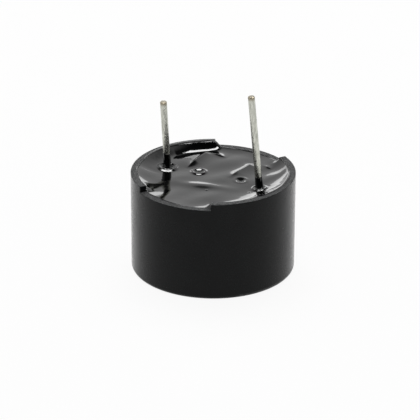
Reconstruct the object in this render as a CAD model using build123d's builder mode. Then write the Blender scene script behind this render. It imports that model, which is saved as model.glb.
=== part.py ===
from build123d import *
import os
from math import atan2, cos, degrees, radians, sin, tan

# A 12 mm self-driven magnetic buzzer, potted. It stands on its sound face, z = 0, with its two
# pins up. The origin is the centre of the sound face, +Z runs towards the pins, and +X points
# from the axis to the long (positive) pin. All sizes are in millimetres and degrees.
#
# From the sound face up: the cup's closed face with the sound hole, the front chamber, the
# diaphragm on its support ring, the ring magnet round the two coils on their iron core, the
# yoke plate, the circuit board with its parts, and the resin that closes the cup.

# ---------------------------------------------------------------- driving dimensions
# Cup
case_diameter = 12.0
case_height = 7.5  # sound face to the seating pads
mould_draft = 0.27  # the outer wall narrows by this angle towards the sound face
rim_wall = 0.55  # at the mouth
edge_round = 0.32  # round the sound face
edge_break = 0.05  # on the rim's edges
pad_span = 120.0  # each of the two raised pads, as an angle about the axis
pad_turn = -3.0  # the pads' middles against the line of the pins
pad_step = 0.45  # the rim between the pads is this much lower
face_thickness = 0.6
sound_hole_diameter = 2.2
sound_hole_chamfer = 0.15
collar_wall = 0.5  # the tube round the sound hole, inside the front chamber
collar_height = 0.35
chamber_depth = 1.1
ledge_width = 0.95  # the ledge that the support ring stands on

# Support ring and diaphragm
ring_fit = 0.05  # between the support ring and the cup, as a radius
ring_recess_wall = 0.42
shoulder_width = 0.58
recess_depth = 0.12
diaphragm_thickness = 0.05
diaphragm_fit = 0.05  # between the diaphragm and its recess, as a radius
weight_diameter = 3.2
weight_thickness = 0.35

# Magnetic circuit
pole_gap = 0.25  # diaphragm to core
magnet_gap = 0.5  # diaphragm to magnet
magnet_clearance = 0.1  # magnet to support ring, as a radius
magnet_wall = 1.0
core_diameter = 2.0
spigot_diameter = 1.5  # the core's reduced end, in the yoke plate
rivet_spread = 0.2  # the spigot's end is spread by this, over the same depth
yoke_thickness = 0.7
yoke_clearance = 0.25  # yoke plate to cup, as a radius
notch_clearance = 0.5  # round each pin, in the yoke plate

# Coils
core_insulation = 0.03  # the gap between the core and the inner coil
coil_step_back = 0.15  # the coils end this far short of the core's tip
coil_clearance = 0.35  # coils to magnet, as a radius
feedback_layer = 0.45  # the feedback coil's thickness over the drive coil
wire_diameter = 0.1
wire_spacing = 0.26  # between the two wire ends of one coil
wire_bend_radius = 0.12
wire_lift = 0.1  # the wire ends lie this high over the copper
wire_hole_diameter = 0.6

# Circuit board
board_thickness = 0.6
board_clearance = 0.15  # board to cup, as a radius
copper_thickness = 0.035
copper_edge = 0.12  # the bare margin round the copper
track_width = 0.4
pin_pad_margin = 0.52  # round each pin
wire_pad_diameter = 0.8
wire_pad_reach = 0.75  # from the wire hole outwards to the pads
wire_pad_spacing = 1.3
wire_solder_diameter = 0.72
wire_solder_height = 0.22
wire_solder_slope = 35.0  # of its side, from upright
wire_solder_round = 0.08

# Transistor, a small outline package with three gull-wing leads
transistor_length = 2.9
transistor_width = 1.3
transistor_height = 0.9
transistor_standoff = 0.08
transistor_draft = 8.0
transistor_from_pin = 2.5
transistor_lead_pitch = 0.95
transistor_lead_width = 0.4
transistor_lead_thickness = 0.12
transistor_lead_reach = 0.55  # outside the body
transistor_lead_root = 0.1  # inside the body
transistor_knee = 0.22  # where the lead turns down, from the body
transistor_pad = (0.8, 0.75)

# Chip resistor
resistor_length = 1.6
resistor_width = 0.8
resistor_height = 0.45
resistor_cap = 0.3
resistor_cap_wall = 0.03
resistor_offset = (1.4, 1.9)  # from the long pin, towards the axis and sideways
resistor_pad = 0.85

# Pins
pin_pitch = 7.6
pin_diameter = 0.5
pin_hole_clearance = 0.03
pin_foot = 0.15  # under the board
pin_tip_chamfer = 0.05
pin_bend_radius = 1.5
long_pin_reach = 6.66  # above the seating pads
short_pin_reach = 4.72
long_pin_lean = 5.2
short_pin_lean = 3.2
lean_azimuth = 212.0  # both pins lean this way
solder_spread = 0.45  # round each pin
solder_height = 0.5
solder_hollow = 0.6  # the radius of the joint's hollow side

# Resin
resin_drop = 0.08  # below the low rim
resin_depth = 1.22  # over the board
wall_meniscus_width = 0.8
wall_meniscus_height = 0.025
pin_meniscus_width = 0.3
long_pin_climb = 0.85
short_pin_climb = 1.15
resin_film = 0.03  # where the meniscus ends on the pin

# ---------------------------------------------------------------- worked-out places
case_radius = case_diameter / 2
bore_radius = case_radius - rim_wall
face_radius = case_radius - case_height * tan(radians(mould_draft))
sound_hole_radius = sound_hole_diameter / 2
collar_radius = sound_hole_radius + collar_wall
chamber_radius = bore_radius - ledge_width
rim_z = case_height - pad_step
ledge_z = face_thickness + chamber_depth

ring_radius = bore_radius - ring_fit
recess_radius = ring_radius - ring_recess_wall
ring_bore_radius = recess_radius - shoulder_width
shoulder_z = ledge_z + recess_depth
diaphragm_z = shoulder_z - diaphragm_thickness

resin_z = rim_z - resin_drop
board_top_z = resin_z - resin_depth
yoke_back_z = board_top_z - board_thickness
yoke_front_z = yoke_back_z - yoke_thickness
copper_top_z = board_top_z + copper_thickness

core_radius = core_diameter / 2
spigot_radius = spigot_diameter / 2
core_tip_z = shoulder_z + pole_gap
magnet_front_z = shoulder_z + magnet_gap
magnet_radius = ring_bore_radius - magnet_clearance
magnet_bore_radius = magnet_radius - magnet_wall
yoke_radius = bore_radius - yoke_clearance
board_radius = bore_radius - board_clearance

coil_front_z = core_tip_z + coil_step_back
drive_coil_bore = core_radius + core_insulation
feedback_coil_radius = magnet_bore_radius - coil_clearance
drive_coil_radius = feedback_coil_radius - feedback_layer
drive_wire_y = (drive_coil_bore + drive_coil_radius) / 2
feedback_wire_y = -(drive_coil_radius + feedback_coil_radius) / 2
wire_radius = wire_diameter / 2

pin_x = pin_pitch / 2
pin_radius = pin_diameter / 2
pin_hole_radius = pin_radius + pin_hole_clearance
pin_pad_radius = pin_radius + pin_pad_margin
solder_radius = pin_radius + solder_spread
transistor_x = transistor_from_pin - pin_x
transistor_pad_x = transistor_width / 2 + transistor_lead_reach / 2
resistor_x = pin_x - resistor_offset[0]
resistor_y = -resistor_offset[1]
resistor_pad_y = (resistor_length - resistor_cap) / 2


def lean_direction(lean):
    """The way a leaning pin points."""
    across = sin(radians(lean))
    return Vector(
        across * cos(radians(lean_azimuth)),
        across * sin(radians(lean_azimuth)),
        cos(radians(lean)),
    )


# Each pin's place on X, its reach over the pads, its lean, and how high the resin climbs it.
pins = {
    "long_pin": (pin_x, long_pin_reach, long_pin_lean, long_pin_climb),
    "short_pin": (-pin_x, short_pin_reach, short_pin_lean, short_pin_climb),
}


# ---------------------------------------------------------------- cup
with BuildPart() as case:
    with BuildSketch(Plane.XZ):
        with BuildLine():
            Polyline(
                (sound_hole_radius, 0),
                (face_radius, 0),
                (case_radius, case_height),
                (bore_radius, case_height),
                (bore_radius, ledge_z),
                (chamber_radius, ledge_z),
                (chamber_radius, face_thickness),
                (collar_radius, face_thickness),
                (collar_radius, face_thickness + collar_height),
                (sound_hole_radius, face_thickness + collar_height),
                close=True,
            )
        make_face()
    revolve(axis=Axis.Z)
    face_edges = edges().group_by(Axis.Z)[0].sort_by(SortBy.RADIUS)
    fillet(face_edges[-1], radius=edge_round)
    chamfer(face_edges[0], length=sound_hole_chamfer)
    # The rim is lower between the two pads.
    gap_half = radians(90 - pad_span / 2)
    with BuildSketch(Plane.XY.offset(rim_z)):
        with PolarLocations(0, 2, start_angle=90 + pad_turn):
            Polygon(
                (0, 0),
                (case_diameter, -case_diameter * tan(gap_half)),
                (case_diameter, case_diameter * tan(gap_half)),
                align=None,
            )
    extrude(amount=pad_step, mode=Mode.SUBTRACT)
    rim_edges = edges().filter_by_position(Axis.Z, rim_z, case_height)
    step_feet = rim_edges.filter_by(GeomType.LINE).group_by(Axis.Z)[0]
    fillet(rim_edges - step_feet, radius=edge_break)
case.part.label = "case"

# ---------------------------------------------------------------- diaphragm group
with BuildPart() as support_ring:
    with BuildSketch(Plane.XZ):
        with BuildLine():
            Polyline(
                (recess_radius, ledge_z),
                (ring_radius, ledge_z),
                (ring_radius, yoke_front_z),
                (ring_bore_radius, yoke_front_z),
                (ring_bore_radius, shoulder_z),
                (recess_radius, shoulder_z),
                close=True,
            )
        make_face()
    revolve(axis=Axis.Z)
support_ring.part.label = "support_ring"

with BuildPart() as diaphragm:
    with BuildSketch(Plane.XY.offset(diaphragm_z)):
        Circle(recess_radius - diaphragm_fit)
    extrude(amount=diaphragm_thickness)
diaphragm.part.label = "diaphragm"

with BuildPart() as diaphragm_weight:
    with BuildSketch(Plane.XY.offset(diaphragm_z - weight_thickness)):
        Circle(weight_diameter / 2)
    extrude(amount=weight_thickness)
    chamfer(edges().group_by(Axis.Z)[0], length=edge_break)
diaphragm_weight.part.label = "diaphragm_weight"

# ---------------------------------------------------------------- magnetic circuit
with BuildPart() as ring_magnet:
    with BuildSketch(Plane.XY.offset(magnet_front_z)):
        Circle(magnet_radius)
        Circle(magnet_bore_radius, mode=Mode.SUBTRACT)
    extrude(amount=yoke_front_z - magnet_front_z)
    chamfer(edges().group_by(Axis.Z)[0], length=edge_break)
ring_magnet.part.label = "ring_magnet"

with BuildPart() as pole_core:
    with BuildSketch(Plane.XZ):
        with BuildLine():
            Polyline(
                (0, core_tip_z),
                (core_radius, core_tip_z),
                (core_radius, yoke_front_z),
                (spigot_radius, yoke_front_z),
                (spigot_radius, yoke_back_z - rivet_spread),
                (spigot_radius + rivet_spread, yoke_back_z),
                (0, yoke_back_z),
                close=True,
            )
        make_face()
    revolve(axis=Axis.Z)
pole_core.part.label = "pole_core"

with BuildPart() as yoke_plate:
    with BuildSketch(Plane.XY.offset(yoke_front_z)):
        Circle(yoke_radius)
        # A notch clears each pin's foot, and runs out to the plate's edge.
        notch_half = pin_radius + notch_clearance
        with PolarLocations(pin_x, 2):
            Circle(notch_half, mode=Mode.SUBTRACT)
        with PolarLocations(pin_x + yoke_radius / 2, 2):
            Rectangle(yoke_radius, 2 * notch_half, mode=Mode.SUBTRACT)
        with Locations((0, drive_wire_y), (0, feedback_wire_y)):
            Circle(wire_hole_diameter / 2, mode=Mode.SUBTRACT)
    extrude(amount=yoke_thickness)
    add(pole_core.part, mode=Mode.SUBTRACT)
yoke_plate.part.label = "yoke_plate"


# ---------------------------------------------------------------- coils
def coil(label, inner_radius, outer_radius, wire_y):
    """One winding with its two wire ends, which go up through the board and lie over their pads."""
    side = 1 if wire_y > 0 else -1
    pad_y = wire_y + side * wire_pad_reach
    wire_top_z = copper_top_z + wire_lift
    with BuildPart() as winding:
        with BuildSketch(Plane.XY.offset(coil_front_z)):
            Circle(outer_radius)
            Circle(inner_radius, mode=Mode.SUBTRACT)
        extrude(amount=yoke_front_z - coil_front_z)
        for end in (-1, 1):
            start = (end * wire_spacing / 2, wire_y, yoke_front_z - wire_diameter)
            with BuildLine():
                FilletPolyline(
                    start,
                    (start[0], wire_y, wire_top_z),
                    (end * wire_pad_spacing / 2, pad_y, wire_top_z),
                    radius=wire_bend_radius,
                )
            with BuildSketch(Plane(origin=start, z_dir=(0, 0, 1))):
                Circle(wire_radius)
            sweep()
    winding.part.label = label
    return winding


drive_coil = coil("drive_coil", drive_coil_bore, drive_coil_radius, drive_wire_y)
feedback_coil = coil("feedback_coil", drive_coil_radius, feedback_coil_radius, feedback_wire_y)

# ---------------------------------------------------------------- circuit board
wire_pads = {
    (end, side): (end * wire_pad_spacing / 2, wire_y + side * wire_pad_reach)
    for side, wire_y in ((1, drive_wire_y), (-1, feedback_wire_y))
    for end in (-1, 1)
}
collector_pad = (transistor_x + transistor_pad_x, 0)
emitter_pad = (transistor_x - transistor_pad_x, transistor_lead_pitch)
base_pad = (transistor_x - transistor_pad_x, -transistor_lead_pitch)
resistor_pads = ((resistor_x, resistor_y + resistor_pad_y), (resistor_x, resistor_y - resistor_pad_y))

with BuildPart() as circuit_board:
    with BuildSketch(Plane.XY.offset(yoke_back_z)):
        Circle(board_radius)
        with PolarLocations(pin_x, 2):
            Circle(pin_hole_radius, mode=Mode.SUBTRACT)
        with Locations((0, drive_wire_y), (0, feedback_wire_y)):
            Circle(wire_hole_diameter / 2, mode=Mode.SUBTRACT)
    extrude(amount=board_thickness)
circuit_board.part.label = "circuit_board"


def track(*points):
    """A copper track with round ends and corners, in the sketch that is open."""
    for a, b in zip(points, points[1:]):
        run = Vector(*b) - Vector(*a)
        with Locations((Vector(*a) + Vector(*b)) / 2):
            SlotCenterToCenter(run.length, track_width, rotation=degrees(atan2(run.Y, run.X)))


with BuildPart() as board_copper:
    with BuildSketch(Plane.XY.offset(board_top_z)):
        with PolarLocations(pin_x, 2):
            Circle(pin_pad_radius)
        with Locations(*wire_pads.values()):
            Circle(wire_pad_diameter / 2)
        with Locations(collector_pad, emitter_pad, base_pad):
            Rectangle(*transistor_pad)
        with Locations(*resistor_pads):
            Rectangle(resistor_pad, resistor_pad)
        # Long pin to the drive coil and to the resistor.
        track((pin_x, 0), (resistor_x, drive_wire_y), wire_pads[1, 1])
        track((pin_x, 0), resistor_pads[0])
        # Resistor, feedback coil and the transistor's base.
        track(resistor_pads[1], wire_pads[1, -1])
        track(wire_pads[-1, -1], (base_pad[0], feedback_wire_y), base_pad)
        # Drive coil to the collector, and the emitter to the short pin.
        track(wire_pads[-1, 1], (collector_pad[0], drive_wire_y - wire_hole_diameter), collector_pad)
        track(emitter_pad, (-pin_x, 0))
    extrude(amount=copper_thickness)
    with BuildSketch(Plane.XY.offset(board_top_z)):
        Circle(board_radius - copper_edge)
        with PolarLocations(pin_x, 2):
            Circle(pin_hole_radius, mode=Mode.SUBTRACT)
        with Locations((0, drive_wire_y), (0, feedback_wire_y)):
            Circle(wire_hole_diameter / 2, mode=Mode.SUBTRACT)
    extrude(amount=copper_thickness, mode=Mode.INTERSECT)
board_copper.part.label = "board_copper"

# ---------------------------------------------------------------- transistor
body_foot_z = copper_top_z + transistor_standoff
parting_z = body_foot_z + transistor_height / 2
with BuildPart() as transistor_body:
    # Two halves with draft, joined at the parting line where the leads come out.
    for half in (1, -1):
        with BuildSketch(Plane.XY.offset(parting_z)):
            with Locations((transistor_x, 0)):
                Rectangle(transistor_width, transistor_length)
        extrude(amount=half * transistor_height / 2, taper=transistor_draft)
transistor_body.part.label = "transistor_body"

with BuildPart() as transistor_leads:
    # Each gull wing is drawn outwards from inside the body, then given the lead's width.
    thick = transistor_lead_thickness
    knee = transistor_knee
    for side, lead_y in ((1, 0), (-1, transistor_lead_pitch), (-1, -transistor_lead_pitch)):
        root = (transistor_x + side * transistor_width / 2, lead_y + side * transistor_lead_width / 2, 0)
        with BuildSketch(Plane(origin=root, x_dir=(side, 0, 0), z_dir=(0, -side, 0))):
            with BuildLine():
                Polyline(
                    (-transistor_lead_root, parting_z - thick / 2),
                    (knee, parting_z - thick / 2),
                    (knee, copper_top_z),
                    (transistor_lead_reach, copper_top_z),
                    (transistor_lead_reach, copper_top_z + thick),
                    (knee + thick, copper_top_z + thick),
                    (knee + thick, parting_z + thick / 2),
                    (-transistor_lead_root, parting_z + thick / 2),
                    close=True,
                )
            make_face()
        extrude(amount=transistor_lead_width)
    add(transistor_body.part, mode=Mode.SUBTRACT)
transistor_leads.part.label = "transistor_leads"

# ---------------------------------------------------------------- resistor
with BuildPart() as resistor_body:
    with BuildSketch(Plane.XY.offset(copper_top_z + resistor_cap_wall)):
        with Locations((resistor_x, resistor_y)):
            Rectangle(
                resistor_width - 2 * resistor_cap_wall,
                resistor_length - 2 * resistor_cap_wall,
            )
    extrude(amount=resistor_height - 2 * resistor_cap_wall)
resistor_body.part.label = "resistor_body"

with BuildPart() as resistor_end_caps:
    with BuildSketch(Plane.XY.offset(copper_top_z)):
        with Locations(*resistor_pads):
            Rectangle(resistor_width, resistor_cap)
    extrude(amount=resistor_height)
    fillet(edges().filter_by(Axis.X), radius=resistor_cap_wall)
    add(resistor_body.part, mode=Mode.SUBTRACT)
resistor_end_caps.part.label = "resistor_end_caps"


# ---------------------------------------------------------------- pins
def pin(label, x, reach, lean):
    """A round wire, straight through the board, that leans from the resin's surface up."""
    foot = Vector(x, 0, yoke_back_z - pin_foot)
    bend = Vector(x, 0, resin_z)
    along = lean_direction(lean)
    tip = bend + along * ((case_height + reach - resin_z) / along.Z)
    with BuildPart() as wire:
        with BuildLine():
            FilletPolyline(foot, bend, tip, radius=pin_bend_radius)
        with BuildSketch(Plane(origin=foot, z_dir=(0, 0, 1))):
            Circle(pin_radius)
        sweep()
        chamfer(edges().sort_by(Axis.Z)[-1], length=pin_tip_chamfer)
        chamfer(edges().sort_by(Axis.Z)[0], length=pin_tip_chamfer)
    wire.part.label = label
    return wire


long_pin, short_pin = (pin(label, *facts[:3]) for label, facts in pins.items())

# ---------------------------------------------------------------- solder
with BuildPart() as pin_solder:
    # Solder fills the hole in each copper pad, and rises from the pad to the pin in a hollow cone.
    for x in (pin_x, -pin_x):
        with BuildSketch(Plane((x, 0, copper_top_z), x_dir=(1, 0, 0), z_dir=(0, -1, 0))):
            with BuildLine():
                Polyline(
                    (solder_radius, 0),
                    (pin_hole_radius, 0),
                    (pin_hole_radius, -copper_thickness),
                    (0, -copper_thickness),
                    (0, solder_height),
                    (pin_radius, solder_height),
                )
                RadiusArc((pin_radius, solder_height), (solder_radius, 0), solder_hollow)
            make_face()
        revolve(axis=Axis((x, 0, 0), (0, 0, 1)))
    with BuildSketch(Plane.XY.offset(board_top_z)):
        Circle(board_radius - copper_edge)
    extrude(amount=copper_thickness + solder_height, mode=Mode.INTERSECT)
    add([long_pin.part, short_pin.part], mode=Mode.SUBTRACT)
pin_solder.part.label = "pin_solder"

with BuildPart() as wire_solder:
    # A low blob with a rounded top stands over each wire end.
    with BuildSketch(Plane.XY.offset(copper_top_z)):
        with Locations(*wire_pads.values()):
            Circle(wire_solder_diameter / 2)
    extrude(amount=wire_solder_height, taper=wire_solder_slope)
    fillet(edges().group_by(Axis.Z)[-1], radius=wire_solder_round)
    add([drive_coil.part, feedback_coil.part], mode=Mode.SUBTRACT)
wire_solder.part.label = "wire_solder"

# ---------------------------------------------------------------- resin
with BuildPart() as potting_resin:
    with BuildSketch(Plane.XZ):
        with BuildLine():
            wall_top_z = resin_z + wall_meniscus_height
            flat_radius = bore_radius - wall_meniscus_width
            Polyline(
                (flat_radius, resin_z),
                (0, resin_z),
                (0, board_top_z),
                (bore_radius, board_top_z),
                (bore_radius, wall_top_z),
            )
            TangentArc((flat_radius, resin_z), (bore_radius, wall_top_z), tangent=(1, 0))
        make_face()
    revolve(axis=Axis.Z)
    # The resin climbs each pin in a hollow cone, and ends as a thin film.
    for x, _, lean, climb in pins.values():
        along = lean_direction(lean)
        across = Vector(0, 0, 1).cross(along).normalized()
        surface = Vector(x, 0, resin_z)
        with BuildSketch(Plane(origin=surface, x_dir=across, z_dir=across.cross(along))):
            with BuildLine():
                root = (pin_radius + pin_meniscus_width, 0)
                film = (pin_radius + resin_film, climb)
                below = -resin_depth / 2
                Polyline(film, (0, climb), (0, below), (root[0], below), root)
                TangentArc(film, root, tangent=(0, -1))
            make_face()
        revolve(axis=Axis(surface, along))
    add(
        [
            long_pin.part,
            short_pin.part,
            drive_coil.part,
            feedback_coil.part,
            board_copper.part,
            transistor_body.part,
            transistor_leads.part,
            resistor_body.part,
            resistor_end_caps.part,
            pin_solder.part,
            wire_solder.part,
        ],
        mode=Mode.SUBTRACT,
    )
potting_resin.part.label = "potting_resin"

os.makedirs("parts", exist_ok=True)
for piece in (
    case,
    support_ring,
    diaphragm,
    diaphragm_weight,
    ring_magnet,
    pole_core,
    yoke_plate,
    drive_coil,
    feedback_coil,
    circuit_board,
    board_copper,
    transistor_body,
    transistor_leads,
    resistor_body,
    resistor_end_caps,
    long_pin,
    short_pin,
    pin_solder,
    wire_solder,
    potting_resin,
):
    export_step(piece.part, f"parts/{piece.part.label}.step")
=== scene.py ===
from math import cos, pi, radians, sin

import bpy
import numpy as np
from mathutils import Matrix, Vector


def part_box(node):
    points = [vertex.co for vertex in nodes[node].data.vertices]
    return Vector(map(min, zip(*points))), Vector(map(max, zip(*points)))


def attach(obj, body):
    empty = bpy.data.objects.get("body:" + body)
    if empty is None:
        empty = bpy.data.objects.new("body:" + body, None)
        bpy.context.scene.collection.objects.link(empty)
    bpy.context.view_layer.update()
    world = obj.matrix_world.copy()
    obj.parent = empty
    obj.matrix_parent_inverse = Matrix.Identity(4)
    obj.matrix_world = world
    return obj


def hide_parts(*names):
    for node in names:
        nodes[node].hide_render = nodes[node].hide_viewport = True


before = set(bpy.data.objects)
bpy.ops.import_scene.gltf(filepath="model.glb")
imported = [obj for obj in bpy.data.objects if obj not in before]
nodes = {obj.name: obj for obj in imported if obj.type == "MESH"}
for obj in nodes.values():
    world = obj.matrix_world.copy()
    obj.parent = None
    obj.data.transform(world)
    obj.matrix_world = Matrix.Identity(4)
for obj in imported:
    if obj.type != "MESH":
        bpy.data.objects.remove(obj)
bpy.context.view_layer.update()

# The looks of a small potted magnetic buzzer: a black moulded cup full of rippled black resin,
# with two tinned pins. Everything is in metres. MM turns a size in millimetres into metres.
MM = 0.001

scene = bpy.context.scene

# ------------------------------------------------------------------ places taken from the frame
case_high = Vector(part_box("case")[1])
resin_low, resin_high = (Vector(corner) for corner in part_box("potting_resin"))
CASE_RADIUS = case_high.x
CASE_HEIGHT = case_high.z
BORE_RADIUS = resin_high.x
BOARD_TOP = resin_low.z
TIP_DEPTH = 0.12 * MM  # how far down a pin's end is looked for


def pin_foot(name):
    """Where a pin crosses the board, and its radius. It is upright there."""
    foot = [v.co for v in nodes[name].data.vertices if v.co.z < BOARD_TOP]
    xs = [p.x for p in foot]
    ys = [p.y for p in foot]
    centre = Vector(((min(xs) + max(xs)) / 2, (min(ys) + max(ys)) / 2, 0))
    return centre, (max(xs) - min(xs)) / 2


def pin_tip(name):
    """The middle of a pin's upper end."""
    points = [v.co for v in nodes[name].data.vertices]
    top = max(point.z for point in points)
    near = [point for point in points if point.z > top - TIP_DEPTH]
    return sum(near, Vector()) / len(near)


LONG_FOOT, PIN_RADIUS = pin_foot("long_pin")
SHORT_FOOT, _ = pin_foot("short_pin")
LONG_TIP = pin_tip("long_pin")
SHORT_TIP = pin_tip("short_pin")

# ------------------------------------------------------------------ camera
VIEW_AZIMUTH = radians(28.5)
VIEW_ELEVATION = radians(24.55)
VIEW_DISTANCE = 254.2 * MM
VIEW_ROLL = radians(-0.24)
LENS = 298.4
SENSOR = 36.0
SHIFT = (-0.0072, 0.0196)

# Directions seen from the camera, level with the ground.
AWAY = Vector((-sin(VIEW_AZIMUTH), cos(VIEW_AZIMUTH), 0))
RIGHT = Vector((cos(VIEW_AZIMUTH), sin(VIEW_AZIMUTH), 0))
UP = Vector((0, 0, 1))


def add_camera():
    target = Vector((0, 0, CASE_HEIGHT / 2))
    back = UP * sin(VIEW_ELEVATION) - AWAY * cos(VIEW_ELEVATION)
    across = RIGHT.copy()
    above = back.cross(across)
    turn = Matrix((across, above, back)).transposed().to_4x4()
    data = bpy.data.cameras.new("camera")
    data.lens = LENS
    data.sensor_width = SENSOR
    data.shift_x, data.shift_y = SHIFT
    data.clip_start = 10 * MM
    camera = bpy.data.objects.new("camera", data)
    place = Matrix.Translation(target + back * VIEW_DISTANCE)
    camera.matrix_world = place @ turn @ Matrix.Rotation(-VIEW_ROLL, 4, "Z")
    scene.collection.objects.link(camera)
    scene.camera = camera


# ------------------------------------------------------------------ node helpers
def link(tree, a, b):
    tree.links.new(a, b)


def math_node(tree, operation, a, b=None, clamp=False):
    node = tree.nodes.new("ShaderNodeMath")
    node.operation = operation
    node.use_clamp = clamp
    for socket, value in zip(node.inputs, (a, b)):
        if value is None:
            continue
        if isinstance(value, (int, float)):
            socket.default_value = value
        else:
            link(tree, value, socket)
    return node.outputs[0]


def map_range(tree, value, low, high, to_low=0.0, to_high=1.0, smooth=False):
    node = tree.nodes.new("ShaderNodeMapRange")
    node.interpolation_type = "SMOOTHSTEP" if smooth else "LINEAR"
    link(tree, value, node.inputs["Value"])
    node.inputs["From Min"].default_value = low
    node.inputs["From Max"].default_value = high
    node.inputs["To Min"].default_value = to_low
    node.inputs["To Max"].default_value = to_high
    return node.outputs["Result"]


def mix_color(tree, factor, a, b):
    node = tree.nodes.new("ShaderNodeMix")
    node.data_type = "RGBA"
    link(tree, factor, node.inputs["Factor"])
    for socket, value in ((node.inputs[6], a), (node.inputs[7], b)):
        if isinstance(value, tuple):
            socket.default_value = (*value, 1)
        else:
            link(tree, value, socket)
    return node.outputs[2]


def object_position(tree):
    """Separate X, Y and Z of the object coordinates, in metres."""
    place = tree.nodes.new("ShaderNodeTexCoord")
    split = tree.nodes.new("ShaderNodeSeparateXYZ")
    link(tree, place.outputs["Object"], split.inputs[0])
    return split.outputs


def new_group(name, inputs, outputs):
    """A shader node group with float sockets. inputs maps names to default values."""
    tree = bpy.data.node_groups.new(name, "ShaderNodeTree")
    for label, default in inputs.items():
        socket = tree.interface.new_socket(label, in_out="INPUT", socket_type="NodeSocketFloat")
        socket.default_value = default
    for label in outputs:
        tree.interface.new_socket(label, in_out="OUTPUT", socket_type="NodeSocketFloat")
    return tree, tree.nodes.new("NodeGroupInput"), tree.nodes.new("NodeGroupOutput")


def make_grain_group():
    """Cloudy grain: a value that drifts between Low and High over patches of a stated size."""
    defaults = {"Size mm": 0.1, "Detail": 3.0, "Stretch Z": 1.0, "Low": 0.0, "High": 1.0}
    tree, into, out = new_group("grain", defaults, ["Value"])
    coord = tree.nodes.new("ShaderNodeTexCoord")
    squeeze = tree.nodes.new("ShaderNodeCombineXYZ")
    squeeze.inputs["X"].default_value = 1
    squeeze.inputs["Y"].default_value = 1
    link(tree, math_node(tree, "DIVIDE", 1.0, into.outputs["Stretch Z"]), squeeze.inputs["Z"])
    stretched = tree.nodes.new("ShaderNodeVectorMath")
    stretched.operation = "MULTIPLY"
    link(tree, coord.outputs["Object"], stretched.inputs[0])
    link(tree, squeeze.outputs[0], stretched.inputs[1])
    noise = tree.nodes.new("ShaderNodeTexNoise")
    link(tree, stretched.outputs[0], noise.inputs["Vector"])
    link(tree, math_node(tree, "DIVIDE", 1 / MM, into.outputs["Size mm"]), noise.inputs["Scale"])
    link(tree, into.outputs["Detail"], noise.inputs["Detail"])
    spread = map_range(tree, noise.outputs[0], 0.3, 0.7)
    span = math_node(tree, "SUBTRACT", into.outputs["High"], into.outputs["Low"])
    value = math_node(tree, "ADD", math_node(tree, "MULTIPLY", spread, span), into.outputs["Low"])
    link(tree, value, out.inputs["Value"])
    return tree


def make_ring_lines_group():
    """Fine circles round the Z axis, as a lathe or a press leaves them."""
    tree, into, out = new_group("ring_lines", {"Pitch mm": 0.05, "Waver": 0.5}, ["Value"])
    coord = tree.nodes.new("ShaderNodeTexCoord")
    split = tree.nodes.new("ShaderNodeSeparateXYZ")
    link(tree, coord.outputs["Object"], split.inputs[0])
    across = math_node(tree, "POWER", split.outputs["X"], 2.0)
    along = math_node(tree, "POWER", split.outputs["Y"], 2.0)
    radius = math_node(tree, "SQRT", math_node(tree, "ADD", across, along))
    noise = tree.nodes.new("ShaderNodeTexNoise")
    link(tree, coord.outputs["Object"], noise.inputs["Vector"])
    noise.inputs["Scale"].default_value = 0.5 / MM
    waver = math_node(tree, "MULTIPLY", noise.outputs[0], into.outputs["Waver"])
    turns = math_node(tree, "DIVIDE", radius, math_node(tree, "MULTIPLY", into.outputs["Pitch mm"], MM))
    phase = math_node(tree, "MULTIPLY", math_node(tree, "ADD", turns, waver), 2 * pi)
    wave = math_node(tree, "SINE", phase)
    link(tree, map_range(tree, wave, -1.0, 1.0), out.inputs["Value"])
    return tree


GRAIN = make_grain_group()
RING_LINES = make_ring_lines_group()


def use_group(tree, group, **values):
    """Places a shared group with its own values and returns its output. _ stands for a space."""
    node = tree.nodes.new("ShaderNodeGroup")
    node.node_tree = group
    for label, value in values.items():
        node.inputs[label.replace("_", " ")].default_value = value
    return node.outputs["Value"]


def new_material(name, **sockets):
    """A material and its Principled shader, with uniform values set on the shader's own sockets."""
    material = bpy.data.materials.new(name)
    material.use_nodes = True
    principled = material.node_tree.nodes["Principled BSDF"]
    for label, value in sockets.items():
        principled.inputs[label.replace("_", " ")].default_value = value
    return material, material.node_tree, principled


def bump(tree, principled, height, depth_mm, base=None):
    """Raises the surface by height times depth_mm, over the normal base if it is given."""
    node = tree.nodes.new("ShaderNodeBump")
    if base:
        link(tree, base, node.inputs["Normal"])
    node.inputs["Distance"].default_value = depth_mm * MM
    node.inputs["Strength"].default_value = 1.0
    link(tree, height, node.inputs["Height"])
    link(tree, node.outputs[0], principled.inputs["Normal"])


def round_wall_normal(tree, geometry, position):
    """The true round normal on the cup's outer wall, and the mesh's own normal elsewhere."""
    flat = tree.nodes.new("ShaderNodeCombineXYZ")
    link(tree, position["X"], flat.inputs["X"])
    link(tree, position["Y"], flat.inputs["Y"])
    outward = tree.nodes.new("ShaderNodeVectorMath")
    outward.operation = "NORMALIZE"
    link(tree, flat.outputs[0], outward.inputs[0])
    radius = tree.nodes.new("ShaderNodeVectorMath")
    radius.operation = "LENGTH"
    link(tree, flat.outputs[0], radius.inputs[0])
    outer = map_range(tree, radius.outputs["Value"], CASE_RADIUS - 0.10 * MM, CASE_RADIUS - 0.07 * MM)
    facing = tree.nodes.new("ShaderNodeSeparateXYZ")
    link(tree, geometry.outputs["Normal"], facing.inputs[0])
    tilt = math_node(tree, "ABSOLUTE", facing.outputs["Z"])
    upright = map_range(tree, tilt, 0.03, 0.12, 1.0, 0.0, smooth=True)
    blend = tree.nodes.new("ShaderNodeMix")
    blend.data_type = "VECTOR"
    link(tree, math_node(tree, "MULTIPLY", outer, upright), blend.inputs["Factor"])
    link(tree, geometry.outputs["Normal"], blend.inputs[4])
    link(tree, outward.outputs[0], blend.inputs[5])
    return blend.outputs[1]


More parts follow.
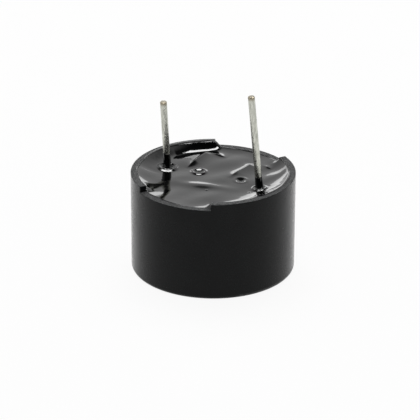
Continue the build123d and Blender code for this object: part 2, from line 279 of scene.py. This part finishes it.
# ------------------------------------------------------------------ finishes of the outside
def cup_plastic():
    """Black moulded plastic, satin on its side, with dust specks, and dull grey along the rim."""
    material, tree, principled = new_material(
        "cup_plastic", Specular_IOR_Level=0.14, Sheen_Weight=0.5, Sheen_Roughness=0.3
    )
    position = object_position(tree)
    geometry = tree.nodes.new("ShaderNodeNewGeometry")
    facing = tree.nodes.new("ShaderNodeSeparateXYZ")
    link(tree, geometry.outputs["Normal"], facing.inputs[0])
    # The mouth's upward faces are rough from the mould's parting line.
    upward = map_range(tree, facing.outputs["Z"], 0.25, 0.85, smooth=True)
    high = map_range(tree, position["Z"], CASE_HEIGHT - 0.7 * MM, CASE_HEIGHT - 0.55 * MM)
    rim = math_node(tree, "MULTIPLY", upward, high)
    mottle = use_group(tree, GRAIN, Size_mm=0.28, Detail=5.0, Low=0.0, High=1.0)
    rim_color = mix_color(tree, mottle, (0.004, 0.0045, 0.005), (0.034, 0.036, 0.037))
    side_tone = use_group(tree, GRAIN, Size_mm=1.6, Detail=2.0)
    side_color = mix_color(tree, side_tone, (0.0016, 0.0020, 0.0021), (0.0030, 0.0036, 0.0037))
    specks = use_group(tree, GRAIN, Size_mm=0.09, Detail=0.0)
    specks = map_range(tree, specks, 1.22, 1.45)
    side_color = mix_color(tree, specks, side_color, (0.08, 0.08, 0.08))
    link(tree, mix_color(tree, rim, side_color, rim_color), principled.inputs["Base Color"])
    satin = use_group(tree, GRAIN, Size_mm=0.9, Detail=4.0, Low=0.20, High=0.30)
    rough = math_node(tree, "ADD", satin, math_node(tree, "MULTIPLY", rim, 0.3), clamp=True)
    link(tree, rough, principled.inputs["Roughness"])
    fine = use_group(tree, GRAIN, Size_mm=0.06, Detail=4.0)
    coarse = math_node(tree, "ADD", math_node(tree, "MULTIPLY", rim, 1.2), 0.1)
    relief = math_node(tree, "MULTIPLY", fine, coarse)
    bump(tree, principled, relief, 0.02, round_wall_normal(tree, geometry, position))
    return material


def black_resin():
    """Glossy black potting resin."""
    material, tree, principled = new_material("black_resin", IOR=1.5)
    tone = use_group(tree, GRAIN, Size_mm=1.2, Detail=2.0)
    color = mix_color(tree, tone, (0.0010, 0.0012, 0.0013), (0.0028, 0.0030, 0.0031))
    link(tree, color, principled.inputs["Base Color"])
    haze = use_group(tree, GRAIN, Size_mm=0.8, Detail=3.0, Low=0.035, High=0.075)
    link(tree, haze, principled.inputs["Roughness"])
    swim = use_group(tree, GRAIN, Size_mm=0.5, Detail=2.0)
    bump(tree, principled, swim, 0.0025)
    return material


def tinned_wire(name, tip):
    """Drawn wire under a thin dull coat of tin, with the bare brass showing at the cut end."""
    material, tree, principled = new_material(name, Metallic=1.0)
    position = object_position(tree)
    streaks = use_group(tree, GRAIN, Size_mm=0.11, Detail=4.0, Stretch_Z=5.0)
    color = mix_color(tree, streaks, (0.36, 0.365, 0.32), (0.66, 0.665, 0.60))
    near = map_range(tree, position["Z"], tip.z - 0.35 * MM, tip.z - 0.05 * MM, smooth=True)
    color = mix_color(tree, near, color, (0.27, 0.24, 0.18))
    link(tree, color, principled.inputs["Base Color"])
    dull = use_group(tree, GRAIN, Size_mm=0.16, Detail=4.0, Stretch_Z=3.0, Low=0.16, High=0.36)
    link(tree, dull, principled.inputs["Roughness"])
    scratches = use_group(tree, GRAIN, Size_mm=0.05, Detail=4.0, Stretch_Z=4.0)
    bump(tree, principled, scratches, 0.008)
    return material


# ------------------------------------------------------------------ finishes of the inside
def plain_metal(name, dark, light, lines_mm=0.06, rough=(0.25, 0.4)):
    """Pressed or turned metal with fine circles and a mottled tone."""
    material, tree, principled = new_material(name, Metallic=1.0)
    tone = use_group(tree, GRAIN, Size_mm=0.7, Detail=4.0)
    link(tree, mix_color(tree, tone, dark, light), principled.inputs["Base Color"])
    dull = use_group(tree, GRAIN, Size_mm=0.3, Detail=3.0, Low=rough[0], High=rough[1])
    link(tree, dull, principled.inputs["Roughness"])
    bump(tree, principled, use_group(tree, RING_LINES, Pitch_mm=lines_mm), 0.002)
    return material


def dull_body(name, dark, light, grain_mm=0.2, rough=(0.5, 0.75), relief_mm=0.006, level=0.5):
    """Ceramic, laminate or moulded body with a grain."""
    material, tree, principled = new_material(name, Specular_IOR_Level=level)
    tone = use_group(tree, GRAIN, Size_mm=grain_mm * 2, Detail=5.0)
    link(tree, mix_color(tree, tone, dark, light), principled.inputs["Base Color"])
    dull = use_group(tree, GRAIN, Size_mm=grain_mm, Detail=3.0, Low=rough[0], High=rough[1])
    link(tree, dull, principled.inputs["Roughness"])
    bump(tree, principled, use_group(tree, GRAIN, Size_mm=grain_mm / 2, Detail=4.0), relief_mm)
    return material


def enamelled_winding(name, dark, light, turn_mm):
    """Turns of enamelled copper wire, one above the other round the Z axis, with painted shade between the
    turns and a painted highlight on each turn's crest.
    """
    material, tree, principled = new_material(name, Metallic=0.85, Coat_Weight=0.6)
    position = object_position(tree)
    count = math_node(tree, "DIVIDE", position["Z"], turn_mm * MM)
    phase = math_node(tree, "MULTIPLY", math_node(tree, "FRACT", count), pi)
    turns = math_node(tree, "SINE", phase)
    tone = use_group(tree, GRAIN, Size_mm=0.5, Detail=3.0)
    # Painted shade and highlight: the colour goes dark in the groove between turns and light on each turn's
    # crest, times a random tone.
    painted_turn_shade = math_node(tree, "MULTIPLY", turns, tone)
    link(tree, mix_color(tree, painted_turn_shade, dark, light), principled.inputs["Base Color"])
    principled.inputs["Roughness"].default_value = 0.28
    bump(tree, principled, turns, 0.03)
    return material


# ------------------------------------------------------------------ resin surface
# Places are in millimetres from the buzzer's axis, X towards the long pin, and angles run from X.
RESIN_LEVEL = 6.97
RINGS = 180
SPOKES = 500
# Slow waves of a surface that skinned over while it set: height, turns along X and Y, and phase.
WAVES = ((0.026, 1.35, 0.7, 0.6), (0.020, -0.8, 1.7, 2.1), (0.010, 2.9, -1.3, 0.4))
# Soft mounds and hollows: centre, half length, half width, angle and height.
SWELLS = (
    ((0.1, -1.55), 1.7, 0.45, 12, 0.10),
    ((3.9, 2.6), 0.9, 0.5, 70, 0.07),
    ((-2.75, -2.3), 2.2, 0.70, -61, -0.034),
    ((-4.4, -1.3), 0.9, 0.5, 10, -0.04),
)
# Folds: start, end, height, and the widths to the right and to the left of the run.
CREASES = (
    ((-2.6, 0.9), (-2.5, 3.7), 0.20, 0.40, 0.20),
    ((-2.5, 3.8), (-1.1, 3.65), 0.11, 0.16, 0.34),
    ((1.0, 0.7), (1.35, 3.4), 0.17, 0.50, 0.26),
    ((2.0, 3.7), (2.8, 3.5), 0.10, 0.18, 0.34),
    ((2.5, 4.4), (3.0, 5.2), 0.10, 0.24, 0.24),
)
# Burst bubbles: centre, radius, depth, and the lip's height and width.
CRATERS = (
    ((-1.45, 0.5), 0.46, 0.05, 0.09, 0.14),
    ((1.95, 0.6), 0.44, 0.09, 0.03, 0.16),
)
# The resin at each pin: the pin's foot, how high the resin is drawn up and over what distance, and
# the radius, height and width of the ring round it.
PIN_RISES = (
    (SHORT_FOOT, 0.40, 0.06, 0.62, 0.12, 0.12),
    (LONG_FOOT, 0.40, 0.05, 0.48, 0.09, 0.10),
)
# Grains of dust under the skin, in the same terms as the mounds.
SPECKS = (((0.6, -2.1), 0.07, 0.07, 0, 0.04), ((3.47, -0.95), 0.08, 0.08, 0, 0.05))
# How the resin ends on the cup's wall: an angle from +X, its rise there over the level, how far
# from the wall the rise begins, the power that it grows by, and how far it laps over the rim.
WALL_EDGE = (
    (-63, 0.45, 1.0, 3.0, 0.05),
    (-50, 0.50, 1.5, 2.6, 0.10),
    (-20, 0.53, 2.1, 2.4, 0.12),
    (10, 0.53, 1.9, 2.4, 0.12),
    (30, 0.50, 1.3, 2.6, 0.10),
    (48, 0.42, 1.0, 2.4, 0.05),
    (56, 0.38, 0.8, 2.0, 0.0),
    (60, 0.06, 0.9, 2.0, 0.0),
    (100, 0.07, 1.0, 2.0, 0.0),
    (112, 0.09, 0.8, 2.0, 0.0),
    (117, 0.50, 0.6, 1.8, 0.20),
    (122, 0.54, 0.6, 1.5, 0.30),
    (152, 0.54, 0.6, 1.5, 0.28),
    (158, 0.53, 0.9, 2.0, 0.18),
    (175, 0.53, 1.9, 2.8, 0.15),
    (200, 0.53, 2.4, 2.4, 0.15),
    (225, 0.50, 2.0, 2.4, 0.10),
    (234, 0.42, 1.2, 2.6, 0.0),
    (239, 0.07, 1.2, 2.4, 0.0),
    (255, 0.09, 1.8, 2.2, 0.0),
    (285, 0.10, 1.9, 2.0, 0.0),
    (293, 0.11, 1.5, 2.2, 0.0),
    (297, 0.45, 1.0, 3.0, 0.05),
)
EDGE_ANGLE, EDGE_RISE, EDGE_BEGIN, EDGE_POWER, EDGE_LAP = np.array(WALL_EDGE).T
# The bead over the rim: its slope at the bore, and how fast it rounds over.
BEAD_SLOPE = 0.3
BEAD_FALL = 0.5


def along_edge(values, x, y):
    """A value of the wall's table at the angle of a place."""
    angle = np.degrees(np.arctan2(y, x))
    angle = np.where(angle < EDGE_ANGLE[0], angle + 360, angle)
    return np.interp(angle, EDGE_ANGLE, values)


def smooth_step(value, low, high):
    t = np.clip((value - low) / (high - low), 0, 1)
    return t * t * (3 - 2 * t)


def oval(x, y, centre, length, width, angle):
    """Distance from a turned oval's centre, as a share of its half sizes."""
    c, s = cos(radians(angle)), sin(radians(angle))
    dx, dy = x - centre[0], y - centre[1]
    return np.hypot((c * dx + s * dy) / length, (-s * dx + c * dy) / width)


def swell(x, y, centre, length, width, angle, height):
    """A soft mound, or a soft hollow if height is negative."""
    return height * np.exp(-oval(x, y, centre, length, width, angle) ** 2)


def crater(x, y, centre, radius, depth, lip, lip_width):
    """The dimple of a burst bubble: a round hollow with a raised lip."""
    away = np.hypot(x - centre[0], y - centre[1])
    hollow = -depth * np.exp(-((away / (0.6 * radius)) ** 2))
    edge = lip * np.exp(-(((away - radius) / lip_width) ** 2))
    return hollow + edge


def crease(x, y, start, end, height, near_width, far_width):
    """A fold with a crisp crest, of its own width on each side. far is left of its run."""
    a, b = np.array(start), np.array(end)
    run = b - a
    length = np.hypot(*run)
    along = ((x - a[0]) * run[0] + (y - a[1]) * run[1]) / length
    aside = ((x - a[0]) * -run[1] + (y - a[1]) * run[0]) / length
    width = np.where(aside > 0, far_width, near_width)
    ends = smooth_step(along, -0.3, 1.0) * (1 - smooth_step(along, length - 0.35, length + 0.35))
    return height * ends * np.exp(-np.sqrt((aside / width) ** 2 + 0.02) + 0.14)


def pin_rise(x, y, foot, lift, reach, ring_radius, ring_height, ring_width):
    """The resin drawn up round a pin, with a low ring round it."""
    away = np.hypot(x - foot.x / MM, y - foot.y / MM)
    rise = lift * np.exp(-np.clip(away - PIN_RADIUS / MM, 0, None) / reach)
    return rise + ring_height * np.exp(-(((away - ring_radius) / ring_width) ** 2))


def wall_rise(x, y):
    """The resin's climb towards the wall, and its bead over the rim's inner edge."""
    inside = BORE_RADIUS / MM - np.hypot(x, y)
    begin = along_edge(EDGE_BEGIN, x, y)
    share = np.clip(1 - inside / begin, 0, 1)
    climb = along_edge(EDGE_RISE, x, y) * share ** along_edge(EDGE_POWER, x, y)
    over = np.clip(-inside, 0, None)
    return climb + BEAD_SLOPE * over - BEAD_FALL * over ** 2


def resin_height(x, y):
    """The resin's surface, in millimetres over the sound face."""
    height = np.full_like(x, RESIN_LEVEL) + wall_rise(x, y)
    for lift, turns_x, turns_y, phase in WAVES:
        height += lift * np.sin(turns_x * x + turns_y * y + phase)
    for shape, table in (
        (swell, SWELLS),
        (crease, CREASES),
        (crater, CRATERS),
        (pin_rise, PIN_RISES),
        (swell, SPECKS),
    ):
        for row in table:
            height += shape(x, y, *row)
    return height


def mesh_object(name, vertices, faces, material):
    mesh = bpy.data.meshes.new(name)
    mesh.from_pydata([tuple(v) for v in vertices], [], faces)
    mesh.materials.append(material)
    mesh.polygons.foreach_set("use_smooth", [True] * len(mesh.polygons))
    mesh.update()
    piece = bpy.data.objects.new(name, mesh)
    scene.collection.objects.link(piece)
    return piece


def make_resin_surface(material):
    """A closed disc of resin on an even polar grid."""
    shares = np.linspace(0, 1, RINGS + 1)[1:]
    angles = np.linspace(0, 2 * np.pi, SPOKES, endpoint=False)
    grid, turn = np.meshgrid(shares, angles, indexing="ij")
    reach = BORE_RADIUS / MM + along_edge(EDGE_LAP, np.cos(turn), np.sin(turn))
    x, y = grid * reach * np.cos(turn), grid * reach * np.sin(turn)
    z = resin_height(x, y)
    centre = resin_height(np.zeros(1), np.zeros(1))[0]
    top = np.stack([x, y, z], -1).reshape(-1, 3)
    foot = np.stack([x[-1], y[-1], np.full(SPOKES, BOARD_TOP / MM)], -1)
    vertices = np.vstack([[0, 0, centre], top, foot, [0, 0, BOARD_TOP / MM]]) * MM
    faces = []
    following = [(k + 1) % SPOKES for k in range(SPOKES)]
    for k in range(SPOKES):
        faces.append((0, 1 + k, 1 + following[k]))
    for ring in range(RINGS):
        inner, outer = 1 + ring * SPOKES, 1 + (ring + 1) * SPOKES
        for k in range(SPOKES):
            faces.append((inner + k, outer + k, outer + following[k], inner + following[k]))
    last, bottom = 1 + RINGS * SPOKES, 1 + (RINGS + 1) * SPOKES
    for k in range(SPOKES):
        faces.append((last + k, bottom, last + following[k]))
    return mesh_object("resin_surface", vertices, faces, material)


# The pins' skin of resin, in millimetres: its thickness at the top, what the foot adds, how far its
# upper edge wanders, and where that edge dips into the pin.
COAT_THIN = 0.012
COAT_FLARE = 0.04
COAT_RAGGED = 0.05
COAT_END = -0.03


def make_pin_coat(name, foot, tip, start, end, material, seed):
    """The skin of resin that a pin drew up, ragged along its upper edge.

    start and end are heights along the pin over the resin's level, in millimetres.
    """
    turns, steps = 48, 26
    rng = np.random.default_rng(seed)
    lobes = rng.uniform(-1, 1, 4)
    bend = Vector((foot.x, foot.y, RESIN_LEVEL * MM))
    along = (tip - bend).normalized()
    side = along.orthogonal().normalized()
    other = along.cross(side)
    vertices, faces = [], []
    for step in range(steps + 1):
        share = step / steps
        for k in range(turns):
            angle = 2 * np.pi * k / turns
            ragged = sum(a * cos((i + 1) * angle + i) for i, a in enumerate(lobes)) * COAT_RAGGED
            height = start + (end + ragged - start) * share
            skin = COAT_THIN + COAT_FLARE * (1 - share) ** 1.5
            if step == steps:
                skin = COAT_END
            out = side * cos(angle) + other * sin(angle)
            vertices.append(bend + along * (height * MM) + out * (PIN_RADIUS + skin * MM))
    for step in range(steps):
        for k in range(turns):
            a, b = step * turns + k, step * turns + (k + 1) % turns
            faces.append((a, b, b + turns, a + turns))
    faces.append(tuple(range(turns - 1, -1, -1)))
    faces.append(tuple(steps * turns + k for k in range(turns)))
    return mesh_object(name, vertices, faces, material)


# ------------------------------------------------------------------ stage
FLOOR_GLOW = 0.92  # how much of the floor is plain white, and the rest takes the shadow


def add_floor():
    """A pale level floor that keeps the buzzer's shadow, and is clear when seen from below."""
    half, z = 1500 * MM, -0.02 * MM
    corners = [(-half, -half, z), (half, -half, z), (half, half, z), (-half, half, z)]
    material, tree, principled = new_material("floor_paper", Roughness=0.9, Specular_IOR_Level=0.0)
    tone = use_group(tree, GRAIN, Size_mm=6.0, Detail=2.0)
    paper = mix_color(tree, tone, (0.80, 0.80, 0.80), (0.82, 0.82, 0.82))
    link(tree, paper, principled.inputs["Base Color"])
    glow = tree.nodes.new("ShaderNodeEmission")
    glow.inputs["Strength"].default_value = 1.0
    path = tree.nodes.new("ShaderNodeLightPath")
    seen = math_node(tree, "MAXIMUM", path.outputs["Is Camera Ray"], path.outputs["Is Glossy Ray"])
    seen = math_node(tree, "MAXIMUM", seen, path.outputs["Is Transmission Ray"])
    share = math_node(tree, "MULTIPLY", seen, FLOOR_GLOW)
    blend = tree.nodes.new("ShaderNodeMixShader")
    link(tree, share, blend.inputs[0])
    link(tree, principled.outputs[0], blend.inputs[1])
    link(tree, glow.outputs[0], blend.inputs[2])
    sides = tree.nodes.new("ShaderNodeNewGeometry")
    clear = tree.nodes.new("ShaderNodeBsdfTransparent")
    one_sided = tree.nodes.new("ShaderNodeMixShader")
    link(tree, sides.outputs["Backfacing"], one_sided.inputs[0])
    link(tree, blend.outputs[0], one_sided.inputs[1])
    link(tree, clear.outputs[0], one_sided.inputs[2])
    link(tree, one_sided.outputs[0], tree.nodes["Material Output"].inputs["Surface"])
    floor = mesh_object("floor", corners, [(0, 1, 2, 3)], material)


def light_world():
    """White to the eye, a soft studio in reflections, and an even fill on everything else."""
    world = bpy.data.worlds.new("studio")
    scene.world = world
    world.use_nodes = True
    tree = world.node_tree
    tree.nodes.clear()
    direction = tree.nodes.new("ShaderNodeTexCoord")
    split = tree.nodes.new("ShaderNodeSeparateXYZ")
    link(tree, direction.outputs["Generated"], split.inputs[0])
    low = map_range(tree, split.outputs["Z"], 0.62, 0.80, 1.0, 0.05, smooth=True)
    facing = tree.nodes.new("ShaderNodeVectorMath")
    facing.operation = "DOT_PRODUCT"
    link(tree, direction.outputs["Generated"], facing.inputs[0])
    facing.inputs[1].default_value = -AWAY
    behind_camera = map_range(tree, facing.outputs["Value"], 0.1, 0.6, 1.0, 0.03, smooth=True)
    studio = math_node(tree, "MULTIPLY", low, behind_camera)
    path = tree.nodes.new("ShaderNodeLightPath")
    mirrored = math_node(tree, "MAXIMUM", path.outputs["Is Glossy Ray"], path.outputs["Is Transmission Ray"])
    fill = tree.nodes.new("ShaderNodeBackground")
    fill.inputs["Color"].default_value = (0.45, 0.45, 0.45, 1)
    room = tree.nodes.new("ShaderNodeBackground")
    link(tree, studio, room.inputs["Strength"])
    white = tree.nodes.new("ShaderNodeBackground")
    first = tree.nodes.new("ShaderNodeMixShader")
    link(tree, mirrored, first.inputs[0])
    link(tree, fill.outputs[0], first.inputs[1])
    link(tree, room.outputs[0], first.inputs[2])
    second = tree.nodes.new("ShaderNodeMixShader")
    link(tree, path.outputs["Is Camera Ray"], second.inputs[0])
    link(tree, first.outputs[0], second.inputs[1])
    link(tree, white.outputs[0], second.inputs[2])
    for background in (white, room):
        background.inputs["Color"].default_value = (1, 1, 1, 1)
    output = tree.nodes.new("ShaderNodeOutputWorld")
    link(tree, second.outputs[0], output.inputs["Surface"])


def add_softbox(name, azimuth, elevation, distance, width, height, radiance, mirrored=True, lit=True):
    """A flat lamp that faces the buzzer. azimuth 0 is beyond the buzzer, 90 to its right.

    mirrored and lit say whether it shows in reflections and whether it lights plain surfaces.
    """
    level = AWAY * cos(radians(azimuth)) + RIGHT * sin(radians(azimuth))
    out = level * cos(radians(elevation)) + UP * sin(radians(elevation))
    data = bpy.data.lights.new(name, "AREA")
    data.shape = "RECTANGLE"
    data.size = width
    data.size_y = height
    data.energy = radiance * width * height * pi
    lamp = bpy.data.objects.new(name, data)
    lamp.location = out * distance
    lamp.rotation_euler = out.to_track_quat("Z", "Y").to_euler()
    lamp.visible_camera = False
    lamp.visible_glossy = mirrored
    lamp.visible_diffuse = lit
    scene.collection.objects.link(lamp)


# ------------------------------------------------------------------ putting it together
def finish_inside():
    """Materials for the pieces that the resin and the cup hide."""
    metal = {
        "support_ring": plain_metal("cast_ring", (0.42, 0.43, 0.44), (0.60, 0.61, 0.62), 0.10),
        "diaphragm": plain_metal("rolled_sheet", (0.40, 0.39, 0.36), (0.56, 0.55, 0.51), 0.04),
        "diaphragm_weight": plain_metal("punched_disc", (0.38, 0.38, 0.38), (0.52, 0.52, 0.52), 0.05),
        "pole_core": plain_metal("turned_core", (0.42, 0.42, 0.41), (0.58, 0.58, 0.56), 0.05),
        "yoke_plate": plain_metal("plated_yoke", (0.46, 0.45, 0.42), (0.64, 0.62, 0.58), 0.08),
        "board_copper": plain_metal("copper_foil", (0.62, 0.28, 0.15), (0.80, 0.45, 0.28), 0.15),
        "transistor_leads": plain_metal("tinned_leads", (0.50, 0.50, 0.48), (0.70, 0.70, 0.68), 0.12),
        "resistor_end_caps": plain_metal("tinned_caps", (0.52, 0.52, 0.50), (0.72, 0.72, 0.70), 0.10),
        "pin_solder": plain_metal("pin_joint", (0.50, 0.50, 0.49), (0.72, 0.72, 0.71), 0.3, (0.1, 0.22)),
        "wire_solder": plain_metal("wire_joint", (0.50, 0.50, 0.49), (0.72, 0.72, 0.71), 0.3, (0.1, 0.22)),
    }
    other = {
        "ring_magnet": dull_body("ferrite", (0.045, 0.045, 0.048), (0.09, 0.09, 0.095), 0.15),
        "circuit_board": dull_body("laminate", (0.42, 0.30, 0.14), (0.56, 0.43, 0.22), 0.4, (0.4, 0.6)),
        "transistor_body": dull_body("moulded_body", (0.012, 0.012, 0.013), (0.03, 0.03, 0.032), 0.05),
        "resistor_body": dull_body("glazed_body", (0.02, 0.02, 0.024), (0.05, 0.05, 0.056), 0.2, (0.2, 0.35)),
        # The windings' dark and light colours are the painted shade between turns and the painted highlight
        # on the crests.
        "drive_coil": enamelled_winding("drive_winding", (0.20, 0.06, 0.02), (0.75, 0.32, 0.13), 0.07),
        "feedback_coil": enamelled_winding("feedback_winding", (0.16, 0.03, 0.015), (0.62, 0.20, 0.08), 0.06),
    }
    for node, material in {**metal, **other}.items():
        dress(node, material)


def dress(node, material):
    """Gives a frame node its material in every slot it has."""
    mesh = nodes[node].data
    if not mesh.materials:
        mesh.materials.append(material)
    for index in range(len(mesh.materials)):
        mesh.materials[index] = material


def build():
    add_camera()
    light_world()
    add_floor()
    add_softbox("overhead", 0, 66, 420 * MM, 330 * MM, 300 * MM, 4.2, mirrored=False)
    add_softbox("glint", 0, 86, 400 * MM, 360 * MM, 170 * MM, 20.0, lit=False)
    add_softbox("sweep_light", 0, 8, 600 * MM, 1200 * MM, 130 * MM, 1.5, lit=False)

    resin = black_resin()
    surface = make_resin_surface(resin)
    coats = (
        make_pin_coat("short_pin_coat", SHORT_FOOT, SHORT_TIP, -0.05, 1.2, resin, 3),
        make_pin_coat("long_pin_coat", LONG_FOOT, LONG_TIP, -0.05, 0.98, resin, 8),
    )
    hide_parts("potting_resin")
    for piece in (surface, *coats):
        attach(piece, "root")
    dress("case", cup_plastic())
    dress("long_pin", tinned_wire("tinned_long_wire", LONG_TIP))
    dress("short_pin", tinned_wire("tinned_short_wire", SHORT_TIP))
    finish_inside()

    scene.view_settings.view_transform = "Standard"


build()
